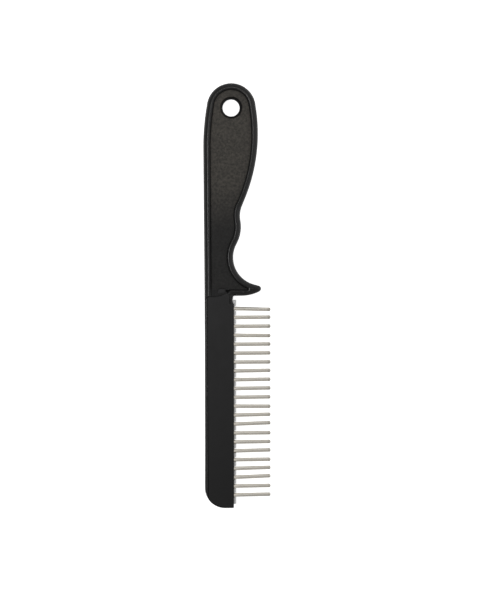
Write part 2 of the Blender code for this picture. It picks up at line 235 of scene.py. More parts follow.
def inside(points, loop):
    a, b = loop, np.roll(loop, -1, 0)
    hit = np.zeros(len(points), bool)
    for start in range(0, len(points), 1500):
        x, y = points[start : start + 1500, 0][:, None], points[start : start + 1500, 1][:, None]
        crosses = (a[:, 1] > y) != (b[:, 1] > y)
        with np.errstate(divide="ignore", invalid="ignore"):
            at = a[:, 0] + (y - a[:, 1]) / (b[:, 1] - a[:, 1]) * (b[:, 0] - a[:, 0])
        hit[start : start + 1500] = (crosses & (x < at)).sum(1) % 2 == 1
    return hit


def signed(points, loop):
    """Positive outside the loop."""
    return np.where(inside(points, loop), -1.0, 1.0) * distance(points, loop)


def smooth(x, low, high):
    t = np.clip((x - low) / (high - low), 0, 1)
    return t * t * (3 - 2 * t)


def quarter(x):
    """Height of a quarter round, 0 to 1, over a run of 0 to 1."""
    return np.sqrt(np.clip(1 - (1 - np.clip(x, 0, 1)) ** 2, 0, 1))


# ================================================================ height of the handle body's two faces
MAX_RIM = 3.75
PAD = (8.95, 2.62, 2.0, 1.2, 0.8)


def pad_distance(points):
    q = np.abs(points - np.array(PAD[:2])) - (np.array(PAD[2:4]) - PAD[4])
    return np.hypot(np.maximum(q[:, 0], 0), np.maximum(q[:, 1], 0)) + np.minimum(q.max(1), 0) - PAD[4]


def body_height(points, side, at_rim=None):
    u, v = points[:, 0], points[:, 1]
    d = distance(points, OUT_P)
    if at_rim is not None:
        d[at_rim] = 0.0
    e = signed(points, FOOT[side][0])
    e[np.abs(e) < 2e-4] = 0.0
    floor = np.full(len(points), THICK - RECESS)
    if side > 0:
        rise = np.maximum(3.75 - v, 0) * 0.345
        in_ramp = (u < 12.6) & (v < 3.75)
        floor = np.where(in_ramp, floor + rise * (1 - np.exp(-rise * 9)), floor)
        floor -= np.where(in_ramp, 1.0 * np.exp(-((u - 11.8) ** 2 + (v - 2.55) ** 2) / 0.22), 0)
    rim = np.minimum(d + np.maximum(e, 0), MAX_RIM)
    t = d / np.maximum(rim, 1e-9)
    inner = 1 - t if side > 0 else np.maximum(e, 0) / np.maximum(rim, 1e-9)
    handle = np.where(
        t < CREST,
        THICK - BEAD_FRONT + BEAD_FRONT * quarter(t / CREST),
        floor + (THICK - floor) * quarter(inner / (1 - CREST)),
    )
    across = smooth(u, 6.0, 13.0)
    root = smooth(v, -5.2, -4.4) * smooth(u, 9.0, 12.0)
    a = 1.1 + (0.25 - 1.1) * across * (1 - root) + 0.15 * root
    b = 2.4 + (0.4 - 2.4) * across * (1 - root)
    blade = THICK - b + b * quarter(d / a)
    share = smooth(v, -1.3, 0.2)
    w = blade + (handle - blade) * share
    w = np.where(e <= 0, floor, w)
    if side > 0:
        s = pad_distance(points)
        w = np.where(s < 0, np.maximum(w, floor + (6.1 - floor) * smooth(-s, -0.05, 0.35)), w)
    x = np.hypot(u - HOLE[0], v - HOLE[1]) - HOLE[2]
    near = (x < HOLE_EASE) & (e < 0)
    w = np.where(near, floor - 1.25 * (1 - np.clip(x / HOLE_EASE, 0, 1)) ** 1.7, w)
    return w, d, e, t


# ================================================================ mesh helpers
def new_object(name, mesh):
    obj = bpy.data.objects.new(name, mesh)
    bpy.context.scene.collection.objects.link(obj)
    return obj


def finish_mesh(mesh, smooth_deg=38):
    mesh.validate()
    mesh.shade_smooth()
    mesh.set_sharp_from_angle(angle=math.radians(smooth_deg))
    return mesh


def from_bmesh(name, bm, smooth_deg=38):
    bmesh.ops.recalc_face_normals(bm, faces=bm.faces)
    mesh = bpy.data.meshes.new(name)
    bm.to_mesh(mesh)
    bm.free()
    return new_object(name, finish_mesh(mesh, smooth_deg))


def skin(bm, a, b):
    for i in range(len(a)):
        j = (i + 1) % len(a)
        bm.faces.new((a[i], a[j], b[j], b[i]))


def cap(bm, loop):
    edges = [bm.edges.get((a, b)) for a, b in zip(loop, loop[1:] + loop[:1])]
    bmesh.ops.triangle_fill(bm, edges=edges, use_beauty=True)


def loop_at(bm, points, w):
    return [bm.verts.new(place(u, v, w)) for u, v in points]


def prism(name, points, w0, w1):
    bm = bmesh.new()
    low, high = loop_at(bm, points, w0), loop_at(bm, points, w1)
    skin(bm, low, high)
    cap(bm, low)
    cap(bm, high)
    return from_bmesh(name, bm)


def cut(obj, *cutters, smooth_deg=38):
    """Subtracts the cutters and keeps the result as the object's own mesh."""
    for c in cutters:
        mod = obj.modifiers.new(c.name, "BOOLEAN")
        mod.operation, mod.solver, mod.object = "DIFFERENCE", "EXACT", c
    graph = bpy.context.evaluated_depsgraph_get()
    mesh = bpy.data.meshes.new_from_object(obj.evaluated_get(graph))
    old = obj.data
    obj.modifiers.clear()
    obj.data = mesh
    bpy.data.meshes.remove(old)
    for c in cutters:
        data = c.data
        bpy.data.objects.remove(c, do_unlink=True)
        bpy.data.meshes.remove(data)
    finish_mesh(mesh, smooth_deg)


# ================================================================ handle body
RUNS = [0.0, 0.012, 0.04, 0.09, 0.165, 0.27, 0.4, 0.56, 0.77, 1.0]      # steps over one quarter round


def grid(u0, u1, v0, v1, pitch, odd=0.5):
    us, vs = np.arange(u0, u1, pitch), np.arange(v0, v1, pitch)
    g = np.array([(a + (odd * pitch if k % 2 else 0), b) for k, b in enumerate(vs) for a in us])
    return g


def face_rows(side):
    """Rows that follow the rim's two flanks and the hole, as (points, which of them are used, closed loop)."""
    foot_p, foot_n, _ = FOOT[side]
    rows = []
    handle = OUT_P[:, 1] > 0.3
    e0 = np.minimum(signed(OUT_P, foot_p), MAX_RIM)
    root = (OUT_P[:, 0] > 13) & (OUT_P[:, 1] < 0.3) & (OUT_P[:, 1] > -4.5)
    for f in RUNS[1:]:
        run = np.where(handle, e0 * CREST * f, np.where(OUT_P[:, 0] > 13, 0.25, 1.1) * f)
        run = np.where(root, 1.25 * f, run)
        points = OUT_P - OUT_N * run[:, None]
        rows.append((points, inside(points, OUT_P) & (distance(points, OUT_P) > run * 0.96)))
    clip = np.minimum(distance(foot_p, OUT_P), MAX_RIM)
    for f in RUNS[1:-1:2]:
        run = clip * (1 - CREST) * f
        points = foot_p + foot_n * run[:, None]
        e = signed(points, foot_p)
        d = distance(points, OUT_P)
        rows.append((points, inside(points, OUT_P) & (e > run * 0.96) & (d / (d + np.maximum(e, 0)) > CREST + 0.02)))
    for depth in (0.1, 0.45):
        points = foot_p - foot_n * depth
        rows.append((points, signed(points, foot_p) < -0.96 * depth))
    for x in [f * HOLE_EASE for f in (0.12, 0.25, 0.4, 0.55, 0.7, 0.85, 1.0)] + [HOLE_EASE + 0.25]:
        a = np.arange(72) * (2 * math.pi / 72)
        points = np.stack([HOLE[0] + (HOLE[2] + x) * np.cos(a), HOLE[1] + (HOLE[2] + x) * np.sin(a)], 1)
        rows.append((points, np.ones(len(points), bool)))
    return rows


def face_points(side):
    """Free points of one face on open grids, finer where shapes run together."""
    foot_p = FOOT[side][0]
    kept = []
    open_grid = grid(0, 30, -108, 108, 2.5)
    d, e = distance(open_grid, OUT_P), signed(open_grid, foot_p)
    x = np.hypot(open_grid[:, 0] - HOLE[0], open_grid[:, 1] - HOLE[1]) - HOLE[2]
    ok = inside(open_grid, OUT_P) & ((e < -1.0) | ((open_grid[:, 1] < -2) & (d > 1.6))) & (x > HOLE_EASE + 0.8)
    kept.append(open_grid[ok])
    for u0, u1, v0, v1, pitch in ((20.0, 29.2, 0.2, 7.5, 0.28), (11.0, 18.5, -4.6, 3.6, 0.3)) + (
        ((3.4, 12.6, -0.6, 4.4, 0.28),) if side > 0 else ((0.6, 5.0, -2.0, 4.2, 0.35), (5.0, 12.6, -1.6, 3.1, 0.5))
    ):
        g = grid(u0, u1, v0, v1, pitch)
        d, e = distance(g, OUT_P), signed(g, foot_p)
        kept.append(g[inside(g, OUT_P) & (d > 0.5) & (np.abs(e) > 0.12)])
    if side > 0:
        g = grid(PAD[0] - 2, PAD[0] + 2, PAD[1] - 1.3, PAD[1] + 1.3, 0.16)
        kept.append(g[pad_distance(g) < -0.03])
    return np.concatenate(kept)


def loop_edges(first, count):
    return [(first + i, first + (i + 1) % count) for i in range(count)]


def face_mesh(side):
    hole_a = np.arange(72) * (2 * math.pi / 72)
    hole = np.stack([HOLE[0] + HOLE[2] * np.cos(hole_a), HOLE[1] + HOLE[2] * np.sin(hole_a)], 1)
    foot = FOOT[side][0]
    loops = [OUT_P, hole, foot]
    if side > 0:
        c, r = PAD[:2], PAD[4]
        corners = []
        for k in range(40):
            a = 2 * math.pi * (k + 0.5) / 40
            su, sv = (1 if math.cos(a) > 0 else -1), (1 if math.sin(a) > 0 else -1)
            corners.append((c[0] + su * (PAD[2] - r) + r * math.cos(a), c[1] + sv * (PAD[3] - r) + r * math.sin(a)))
        loops.append(np.array(corners))
    points, edges = [], []
    for loop in loops:
        edges += loop_edges(sum(len(p) for p in points), len(loop))
        points.append(loop)
    for row, used in face_rows(side):
        first = sum(len(p) for p in points)
        place_of = first + np.cumsum(used) - 1
        after = np.roll(np.arange(len(row)), -1)
        edges += [(int(place_of[i]), int(place_of[after[i]])) for i in range(len(row)) if used[i] and used[after[i]]]
        points.append(row[used])
    free_p, set_p = face_points(side), np.concatenate(points)
    gap = np.array([np.hypot(*(set_p - p).T).min() for p in free_p])
    points.append(free_p[gap > 0.13])
    every = np.concatenate(points)
    made = delaunay_2d_cdt([Vector(p) for p in every], edges, [], 0, 1e-5)
    verts, faces, origin = made[0], made[2], made[3]
    verts = np.array([tuple(v) for v in verts])
    faces = np.array(faces)
    where = {}
    for k, sources in enumerate(origin):
        for s in sources:
            where[s] = k
    centre = verts[faces].mean(1)
    keep = inside(centre, OUT_P) & (np.hypot(centre[:, 0] - HOLE[0], centre[:, 1] - HOLE[1]) > HOLE[2] * 0.9995)
    a, b, c = verts[faces[:, 0]], verts[faces[:, 1]], verts[faces[:, 2]]
    area = (b[:, 0] - a[:, 0]) * (c[:, 1] - a[:, 1]) - (b[:, 1] - a[:, 1]) * (c[:, 0] - a[:, 0])
    faces[area < 0] = faces[area < 0][:, ::-1]
    faces = faces[keep]
    edge = np.array([where[i] for i in range(len(OUT_P))])
    hole_edge = np.array([where[len(OUT_P) + i] for i in range(len(hole))])
    w, d, e, t = body_height(verts, side, edge)
    # soften the ridge where the two beads run together at the guard's tip
    amount = smooth(verts[:, 0], 17.4, 18.8) * smooth(-verts[:, 1], -8.0, -6.8) * smooth(e, 0.1, 0.5)
    amount[edge] = 0.0
    free = amount > 0
    reach = np.minimum(0.7 * d[free], 0.8) * amount[free]
    total = w[free].copy()
    for scale in (0.35, 0.7, 1.0):
        for k in range(12):
            a = 2 * math.pi * (k + scale) / 12
            near = verts[free] + (reach * scale)[:, None] * np.array([math.cos(a), math.sin(a)])
            total += body_height(near, side)[0]
    w[free] = total / 37
    return verts, faces, w, e, edge, hole_edge


def build_body():
    bm_verts, bm_faces, slots = [], [], []
    rings = {}
    for side in (1, -1):
        verts, faces, w, e, edge, hole_edge = face_mesh(side)
        first = len(bm_verts)
        z = w if side > 0 else THICK - w
        bm_verts += [place(u, v, h) for (u, v), h in zip(verts, z)]
        web = (e[faces] <= 1e-6).all(1) & (verts[faces][:, :, 1].mean(1) > 1.5)
        for f, is_web in zip(faces, web):
            f = [int(k) + first for k in f]
            bm_faces.append(f if side > 0 else f[::-1])
            slots.append(1 if is_web else 0)
        rings[side] = ([first + int(k) for k in edge], [first + int(k) for k in hole_edge])
    for which, flip in ((0, False), (1, True)):
        top, low = rings[1][which], rings[-1][which]
        n = len(top)
        for i in range(n):
            j = (i + 1) % n
            quad = [low[i], low[j], top[j], top[i]]
            bm_faces.append(quad[::-1] if flip else quad)
            slots.append(0)
    used = sorted({k for f in bm_faces for k in f})
    index = {k: i for i, k in enumerate(used)}
    mesh = bpy.data.meshes.new("handle_body_fine")
    mesh.from_pydata([bm_verts[k] for k in used], [], [[index[k] for k in f] for f in bm_faces])
    mesh.polygons.foreach_set("material_index", slots)
    mesh.update()
    return new_object("handle_body_fine", mesh)


body = build_body()

far_v = -BLADE_L - 4
SEAM = 0.05     # the cover closes tighter against the root than along the spine
pocket_p, _, _ = belt([
    (BLADE_W + 4, far_v, 0.0, 1),
    (BLADE_W + 4, ROOT_V + SEAM, 0.0, 1),
    (ROOT_U + SEAM, ROOT_V + SEAM, 0.0, -1),
    (ROOT_U - 0.3, 0.45, 0.3 + SEAM, 1),
    (11.65, 1.25, 0.3 + SEAM, 1),
    (COVER_TOP[0], COVER_TOP[1], COVER_TOP[2] - 0.2, -1),
    (LIP_W + 1.1, -1.25, 1.1, 1),
    (LIP_W, far_v, 0.0, 1),
], angle=12, straight=300)
pocket = prism("cut_pocket", pocket_p, THICK - COVER_T - GAP, THICK + 2)

t0, t1 = MID_W - TONGUE_T / 2, MID_W + TONGUE_T / 2
back_u, tongue_u = CHANNEL_BACK_U - GAP, HEAD_BACK_U - GAP
section = [
    (back_u, FLOOR_T), (BLADE_W + 4, FLOOR_T), (BLADE_W + 4, THICK - 1.0), (back_u, THICK - 1.0),
    (back_u, t1), (tongue_u, t1), (tongue_u, t0), (back_u, t0),
]
bm = bmesh.new()
ends = [[bm.verts.new(place(*on_edge(u, v), w)) for u, w in section] for v in (CHANNEL_BOTTOM_V - GAP, CHANNEL_TOP_V + GAP)]
skin(bm, ends[0], ends[1])
for end in ends:
    bm.faces.new(end)
groove = from_bmesh("cut_groove", bm)
notch = prism("cut_notch", [(-2, -1.42), (LIP_W + 0.4, -1.3), (LIP_W + 0.4, -0.72), (-2, -0.8)], THICK - 1.5, THICK + 2)
cut(body, pocket, groove, notch, smooth_deg=50)


# ================================================================ blade cover
def build_cover():
    left = LIP_W + GAP
    cu, cv, cr = BLADE_CORNER
    meet = cv - math.sqrt(cr * cr - (cu - left) ** 2)
    p, n, ease = belt([
        (*on_edge(BLADE_W - 0.5, -BLADE_L + 0.5), 0.5, 1, 0.5),
        (*on_edge(BLADE_W - 0.25, ROOT_V - 0.25), 0.25, 1, 0.2),
        (ROOT_U + 0.3, ROOT_V, 0.0, 1, 0.2),
        (ROOT_U, ROOT_V, 0.0, -1, 0.2),
        (ROOT_U, ROOT_V + 0.3, 0.0, 1, 0.2),
        (ROOT_U - 0.3, 0.45, 0.3, 1, 0.35),
        (11.65, 1.25, 0.3, 1, 0.4),
        (*COVER_TOP, -1, 0.5),
        (left + 0.8, -1.25, 0.8, 1, 0.45),
        (left, meet, 0.0, 1, 0.4),
        (cu, cv, cr, 1, 1.0),
    ], step=0.7, angle=8, straight=4)
    bm = bmesh.new()
    rows = [loop_at(bm, p, THICK - COVER_T)]
    depth, run = 0.62, 0.7
    for k in range(8):
        a = math.pi / 2 * k / 7
        drop = depth * (1 - math.sin(a)) * np.maximum(ease, 0.35)
        q = p - n * (run * (1 - math.cos(a)) * ease)[:, None]
        rows.append([bm.verts.new(place(u, v, THICK - h)) for (u, v), h in zip(q, drop)])
    rows.append(loop_at(bm, p - n * (run * ease + 0.04)[:, None], THICK))
    for a, b in zip(rows, rows[1:]):
        skin(bm, a, b)
    cap(bm, rows[0])
    cap(bm, rows[-1])
    return from_bmesh("blade_cover_fine", bm)


cover = build_cover()


# ================================================================ steel channel
def tooth_v(i):
    return FIRST_V - PITCH * i


def arc_points(cu, cw, r, a0, a1, n):
    return [
        (cu + r * math.cos(math.radians(a0 + (a1 - a0) * k / n)), cw + r * math.sin(math.radians(a0 + (a1 - a0) * k / n)))
        for k in range(n + 1)
    ]


def build_channel():
    z0, z1 = MID_W - CHANNEL_DEPTH / 2, MID_W + CHANNEL_DEPTH / 2
    r_out, r_in = 1.0, 1.0 - SHEET_T
    cu = CHANNEL_NOSE_U - r_out
    outline = [(CHANNEL_BACK_U, z0)] + arc_points(cu, z0 + r_out, r_out, -90, 0, 9) + arc_points(cu, z1 - r_out, r_out, 0, 90, 9)
    outline += [(CHANNEL_BACK_U, z1), (CHANNEL_BACK_U, z1 - SHEET_T)]
    outline += arc_points(cu, z1 - r_out, r_in, 90, 0, 7) + arc_points(cu, z0 + r_out, r_in, 0, -90, 7)
    outline += [(CHANNEL_BACK_U, z0 + SHEET_T)]
    bm = bmesh.new()
    ends = [[bm.verts.new(place(*on_edge(u, v), w)) for u, w in outline] for v in (CHANNEL_BOTTOM_V, CHANNEL_TOP_V)]
    skin(bm, ends[0], ends[1])
    for end in ends:
        cap(bm, end)
    channel = from_bmesh("tooth_channel_fine", bm, 32)
    bm = bmesh.new()
    for i in range(TEETH):
        v = tooth_v(i)
        h, r = SLOT_W / 2, 0.35
        profile = [(CHANNEL_NOSE_U + 1, v - h), (CHANNEL_NOSE_U + 1, v + h)]
        profile += [(SLOT_U + r + r * math.cos(a), v + h - r + r * math.sin(a)) for a in np.linspace(math.pi / 2, math.pi, 5)]
        profile += [(SLOT_U + r + r * math.cos(a), v - h + r + r * math.sin(a)) for a in np.linspace(math.pi, 1.5 * math.pi, 5)]
        low = [bm.verts.new(place(*on_edge(u, vv), z0 - 1)) for u, vv in profile]
        high = [bm.verts.new(place(*on_edge(u, vv), z1 + 1)) for u, vv in profile]
        skin(bm, low, high)
        bm.faces.new(low)
        bm.faces.new(high)
    cut(channel, from_bmesh("cut_slots", bm), smooth_deg=32)
    return channel


channel = build_channel()


# ================================================================ teeth
def tooth_lean(i):
    settle = 0.38 * math.sin(1.81 * i - 1.92) + 0.52 * math.sin(2.18 * i - 1.27)
    settle += 0.31 * math.sin(1.05 * i + 0.74) + 0.28 * math.sin(1.35 * i + 2.64)
    return math.radians(0.079 * i - 0.24 + settle - 0.85 * math.exp(-2.0 * i))


def tooth_drop(i):
    """How far a loose tooth has slid towards the blade's end within its slot."""
    return 0.10 - 0.08 * math.sin(0.61 * i + 1.47)


def build_tooth(i, sides=28):
    pivot = HEAD_BACK_U + HEAD_T / 2
    profile = [
        (HEAD_BACK_U, HEAD_R - 0.2), (HEAD_BACK_U + 0.06, HEAD_R - 0.06), (HEAD_BACK_U + 0.2, HEAD_R),
        (HEAD_BACK_U + HEAD_T - 0.2, HEAD_R), (HEAD_BACK_U + HEAD_T - 0.06, HEAD_R - 0.05),
        (HEAD_BACK_U + HEAD_T - 0.02, HEAD_R - 0.16), (HEAD_BACK_U + HEAD_T, TOOTH_R + 0.03),
        (HEAD_BACK_U + HEAD_T + 0.05, TOOTH_R), (20.0, TOOTH_R), (26.0, TOOTH_R),
    ]
    run = 0.78 + 0.06 * math.sin(2.7 * i)
    for k in range(8):
        a = math.pi / 2 * k / 8
        profile.append((TIP_U - run + run * math.sin(a), TOOTH_R * (math.cos(a) ** 0.8)))
    turn = Matrix.Rotation(tooth_lean(i), 4, "Z")
    base = Matrix.Translation(place(*on_edge(pivot, tooth_v(i) - tooth_drop(i)), MID_W))
    move = base @ turn
    bm = bmesh.new()
    rings = []
    phase = 0.37 * i
    for u, r in profile:
        ring = []
        for k in range(sides):
            a = 2 * math.pi * (k + 0.5) / sides + phase
            ring.append(bm.verts.new(move @ Vector(((u - pivot) * MM, r * math.cos(a) * MM, r * math.sin(a) * MM))))
        rings.append(ring)
    for a, b in zip(rings, rings[1:]):
        skin(bm, a, b)
    bm.faces.new(rings[0])
    end = bm.verts.new(move @ Vector(((TIP_U - pivot) * MM, 0, 0)))
    for k in range(sides):
        bm.faces.new((rings[-1][k], rings[-1][(k + 1) % sides], end))
    return from_bmesh(f"tooth_pin_{i + 1:02d}", bm, 34)


teeth = [build_tooth(i) for i in range(TEETH)]


# ================================================================ materials
class Nodes:
    """Small helper for building a material's node tree."""

    def __init__(self, name):
        self.mat = bpy.data.materials.new(name)
        self.mat.use_nodes = True
        self.tree = self.mat.node_tree
        self.shader = self.tree.nodes["Principled BSDF"]
        self.coord = self.add("ShaderNodeTexCoord")

    def add(self, kind, **values):
        node = self.tree.nodes.new(kind)
        for key, value in values.items():
            if hasattr(node, key):
                setattr(node, key, value)
            else:
                node.inputs[key.replace("_", " ")].default_value = value
        return node

    def link(self, a, b):
        self.tree.links.new(a, b)

    def set(self, **values):
        for key, value in values.items():
            self.shader.inputs[key.replace("_", " ")].default_value = value

    def mapped(self, scale):
        m = self.add("ShaderNodeMapping")
        m.inputs["Scale"].default_value = scale
        self.link(self.coord.outputs["Object"], m.inputs["Vector"])
        return m.outputs["Vector"]

    def noise(self, scale, detail=2.0, rough=0.5, vector=None, stretch=(1, 1, 1)):
        n = self.add("ShaderNodeTexNoise")
        n.inputs["Scale"].default_value = scale
        n.inputs["Detail"].default_value = detail
        n.inputs["Roughness"].default_value = rough
        self.link(vector or self.mapped(stretch), n.inputs["Vector"])
        return n.outputs["Fac"]

    def cells(self, scale, stretch=(1, 1, 1)):
        n = self.add("ShaderNodeTexVoronoi")
        n.feature = "SMOOTH_F1"
        n.inputs["Scale"].default_value = scale
        n.inputs["Smoothness"].default_value = 0.6
        self.link(self.mapped(stretch), n.inputs["Vector"])
        return n.outputs["Distance"]

    def ramp(self, fac, low, high, at=(0.3, 0.7)):
        r = self.add("ShaderNodeValToRGB")
        r.color_ramp.elements[0].position, r.color_ramp.elements[1].position = at
        r.color_ramp.elements[0].color = low if len(low) == 4 else (*low, 1)
        r.color_ramp.elements[1].color = high if len(high) == 4 else (*high, 1)
        self.link(fac, r.inputs["Fac"])
        return r.outputs["Color"]

    def range(self, fac, low, high, start=0.3, end=0.7):
        m = self.add("ShaderNodeMapRange")
        m.inputs["From Min"].default_value, m.inputs["From Max"].default_value = start, end
        m.inputs["To Min"].default_value, m.inputs["To Max"].default_value = low, high
        self.link(fac, m.inputs["Value"])
        return m.outputs["Result"]

    def mix(self, fac, a, b, blend="MIX"):
        m = self.add("ShaderNodeMix")
        m.data_type, m.blend_type = "RGBA", blend
        sockets = {"fac": m.inputs[0], "a": m.inputs[6], "b": m.inputs[7]}
        for key, value in (("fac", fac), ("a", a), ("b", b)):
            if isinstance(value, bpy.types.NodeSocket):
                self.link(value, sockets[key])
            elif key == "fac":
                sockets[key].default_value = value
            else:
                sockets[key].default_value = (*value, 1)
        return m.outputs[2]

    def math(self, op, a, b=0.0, clamp=False):
        m = self.add("ShaderNodeMath")
        m.operation, m.use_clamp = op, clamp
        for k, value in enumerate((a, b)):
            if isinstance(value, bpy.types.NodeSocket):
                self.link(value, m.inputs[k])
            else:
                m.inputs[k].default_value = value
        return m.outputs[0]

    def bump(self, *layers):
        """Layers of (height socket, strength, distance in metres), the last one outermost."""
        normal = None
        for height, strength, deep in layers:
            b = self.add("ShaderNodeBump")
            b.inputs["Strength"].default_value = strength
            b.inputs["Distance"].default_value = deep
            self.link(height, b.inputs["Height"])
            if normal:
                self.link(normal, b.inputs["Normal"])
            normal = b.outputs["Normal"]
        self.link(normal, self.shader.inputs["Normal"])

    def worn_edges(self, low=0.52, high=0.6):
        g = self.add("ShaderNodeNewGeometry")
        return self.range(g.outputs["Pointiness"], 0.0, 1.0, low, high)


def rim_material():
    m = Nodes("rim_plastic")
    fine = m.noise(1900, 3.0, 0.6)
    blotch = m.noise(160, 3.0, 0.55)
    scuff = m.noise(900, 2.0, 0.5, stretch=(1, 0.06, 1))
    wear = m.worn_edges()
    base = m.ramp(blotch, (0.0060, 0.0058, 0.0060), (0.0090, 0.0088, 0.0090))
    base = m.mix(m.math("MULTIPLY", wear, 0.35), base, (0.020, 0.020, 0.021))
    m.link(base, m.shader.inputs["Base Color"])
    rough = m.range(blotch, 0.26, 0.34)
    rough = m.math("ADD", rough, m.math("MULTIPLY", m.range(scuff, 0.0, 1.0, 0.55, 0.7), 0.08))
    m.link(rough, m.shader.inputs["Roughness"])
    m.set(Specular_IOR_Level=0.34)
    m.bump((blotch, 0.10, 0.00012), (fine, 0.22, 0.000012))
    return m.mat


def web_material():
    m = Nodes("web_grain")
    grain = m.cells(2600)
    fine = m.noise(4200, 2.0, 0.6)
    pebble = m.noise(820, 3.0, 0.65)
    blotch = m.noise(140, 3.0, 0.6)
    tone = m.ramp(blotch, (0.0110, 0.0106, 0.0106), (0.0160, 0.0156, 0.0154))
    speck = m.ramp(pebble, (0.55, 0.55, 0.55), (1.44, 1.44, 1.42), (0.36, 0.66))
    base = m.mix(1.0, tone, speck, "MULTIPLY")
    place_in = m.add("ShaderNodeSeparateXYZ")
    m.link(m.coord.outputs["Object"], place_in.inputs[0])
    # painted sheen: the upper half of the web is painted paler and warmer where the overhead light pools on it, and a
    # faint share of the same painted sheen lies low on the web towards the guard
    painted_sheen_top = m.range(place_in.outputs[1], 0.0, 1.0, (33 - V_MID) * MM, (58 - V_MID) * MM)
    low = m.range(place_in.outputs[1], 0.05, 0.0, (8 - V_MID) * MM, (26 - V_MID) * MM)
    base = m.mix(m.math("ADD", painted_sheen_top, low, clamp=True), base, m.mix(1.0, speck, (0.0475, 0.0430, 0.0375), "MULTIPLY"))
    # painted highlight: the raised pad by the finger guard, with the web's edge just above it, is painted paler for the
    # overhead light its top catches
    pad_painted_highlight = m.range(place_in.outputs[1], 1.0, 0.0, (3.45 - V_MID) * MM, (3.6 - V_MID) * MM)
    base = m.mix(pad_painted_highlight, base, (0.0250, 0.0245, 0.0255))
    # painted shade: a near-black ring with little gloss is painted round the hole, where its dished edge falls into
    # shade; the grain colour stops there
    off = m.add("ShaderNodeCombineXYZ")
    m.link(m.math("SUBTRACT", place_in.outputs[0], (HOLE[0] + 0.15 - U_MID) * MM), off.inputs[0])
    m.link(m.math("SUBTRACT", place_in.outputs[1], (HOLE[1] + 0.15 - V_MID) * MM), off.inputs[1])
    length = m.add("ShaderNodeVectorMath", operation="LENGTH")
    m.link(off.outputs[0], length.inputs[0])
    painted_hole_shade = m.range(length.outputs["Value"], 1.0, 0.0, (HOLE[2] + 0.95) * MM, (HOLE[2] + 1.6) * MM)
    base = m.mix(painted_hole_shade, base, (0.0035, 0.0033, 0.0034))
    m.link(base, m.shader.inputs["Base Color"])
    m.link(m.range(pebble, 0.44, 0.64), m.shader.inputs["Roughness"])
    m.link(m.range(painted_hole_shade, 0.20, 0.05, 0.0, 1.0), m.shader.inputs["Specular IOR Level"])
    m.bump((pebble, 0.55, 0.00006), (grain, 0.55, 0.00003), (fine, 0.3, 0.000012))
    return m.mat


def cover_material():
    m = Nodes("cover_plastic")
    grain = m.noise(3000, 2.5, 0.6)
    blotch = m.noise(120, 3.0, 0.6)
    streak = m.noise(700, 3.0, 0.6, stretch=(1, 0.03, 1))
    base = m.ramp(blotch, (0.0070, 0.0068, 0.0071), (0.0112, 0.0109, 0.0113))
    where = m.add("ShaderNodeSeparateXYZ")
    m.link(m.coord.outputs["Object"], where.inputs[0])
    # painted shade: the cover is painted darker towards the blade's end, away from the lights over the handle
    painted_shade_towards_end = m.range(where.outputs[1], 0.88, 0.0, (-104 - V_MID) * MM, (-2 - V_MID) * MM)
    base = m.mix(painted_shade_towards_end, base, (0.0012, 0.0011, 0.0013))
    base = m.mix(m.math("MULTIPLY", m.worn_edges(), 0.3), base, (0.022, 0.022, 0.023))
    m.link(base, m.shader.inputs["Base Color"])
    rough = m.math("ADD", m.range(grain, 0.46, 0.58), m.math("MULTIPLY", m.range(streak, 0.0, 1.0, 0.56, 0.7), -0.06))
    m.link(rough, m.shader.inputs["Roughness"])
    m.set(Specular_IOR_Level=0.30)
    m.bump((blotch, 0.12, 0.00015), (grain, 0.45, 0.00002))
    return m.mat


def channel_material():
    m = Nodes("channel_steel")
    brush = m.noise(2600, 3.0, 0.65, stretch=(1, 0.02, 1))
    stain = m.noise(260, 3.0, 0.6)
    base = m.ramp(stain, (0.62, 0.62, 0.615), (0.74, 0.74, 0.735))
    base = m.mix(m.math("MULTIPLY", m.range(brush, 0.0, 1.0), 0.12), base, (0.80, 0.80, 0.80))
    m.link(base, m.shader.inputs["Base Color"])
    m.link(m.range(brush, 0.30, 0.46), m.shader.inputs["Roughness"])
    m.set(Metallic=1.0)
    m.bump((stain, 0.08, 0.00004), (brush, 0.12, 0.00001))
    return m.mat


def tooth_material():
    m = Nodes("tooth_steel")
    drawn = m.noise(2600, 3.0, 0.6, stretch=(0.06, 1.0, 1.0))
    stain = m.noise(300, 2.0, 0.5)
    base = m.ramp(stain, (0.93, 0.880, 0.785), (0.98, 0.930, 0.835))
    base = m.mix(m.math("MULTIPLY", m.range(drawn, 0.0, 1.0), 0.15), base, (0.98, 0.95, 0.88))
    # the rounded tips are darker
    along = m.add("ShaderNodeSeparateXYZ")
    m.link(m.coord.outputs["Object"], along.inputs[0])
    tip = (TIP_U - U_MID) * MM
    darker_tips = m.range(along.outputs[0], 0.0, 0.55, tip - 0.0016, tip - 0.0003)
    base = m.mix(darker_tips, base, (0.30, 0.265, 0.21))
    m.link(base, m.shader.inputs["Base Color"])
    m.link(m.range(drawn, 0.26, 0.32), m.shader.inputs["Roughness"])
    m.set(Metallic=1.0)
    m.bump((drawn, 0.05, 0.000004))
    return m.mat


